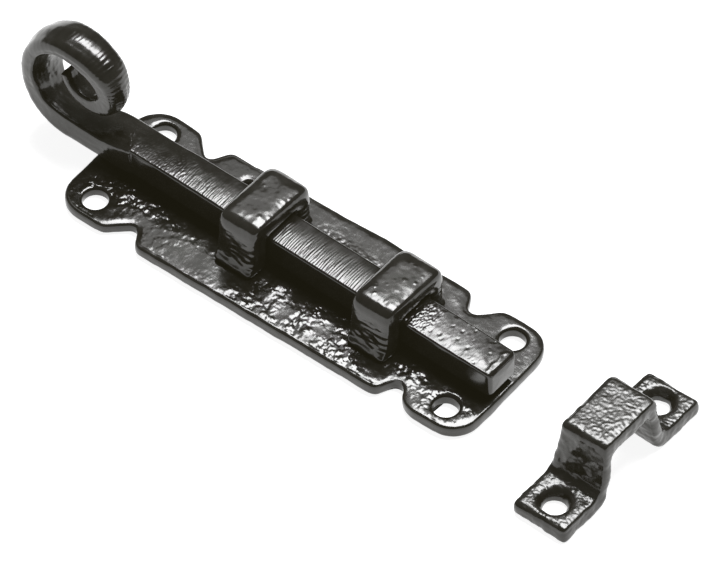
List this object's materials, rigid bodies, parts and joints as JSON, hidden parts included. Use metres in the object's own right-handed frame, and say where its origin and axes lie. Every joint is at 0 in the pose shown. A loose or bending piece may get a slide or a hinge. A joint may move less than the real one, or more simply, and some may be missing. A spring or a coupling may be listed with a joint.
{
  "type": "door bolt",
  "caption": "Surface-mounted straight door bolt with a curled handle sliding in two guide staples on a notched backplate, and a separate strap keeper.",
  "frame": {"origin": "on the backplate's back face, on the bolt's line of travel, 0.4 mm from the plate's middle", "axes": "+Z out of the door face; +X along the bolt's line of travel towards the nose and the keeper; +Y across it. The backplate lies turned 1.6 degrees about Z, as in the picture."},
  "size_m": [0.1519, 0.0422, 0.0299],
  "materials": {
    "cast_black": "glossy black paint over a rough, pitted casting",
    "bar_black": "glossy black paint over a forged bar with file marks",
    "keeper_black": "glossy black paint with a strong orange-peel grain",
    "spring_steel": "plain spring steel"
  },
  "bodies": {
    "base": {"backplate": "cast_black", "rear_guide": "cast_black", "front_guide": "cast_black", "friction_spring": "spring_steel", "spring_rivet": "spring_steel"},
    "bolt": {"bolt": "bar_black"},
    "keeper": {"keeper": "keeper_black"}
  },
  "joints": [
    {"name": "bolt_slide", "type": "slide", "parent": "base", "child": "bolt", "axis": [1, 0, 0], "range_m": [0, 0.029]},
    {"name": "keeper_slide", "type": "slide", "parent": "base", "child": "keeper", "axis": [1, 0, 0], "range_m": [-0.015, 0.01]}
  ]
}
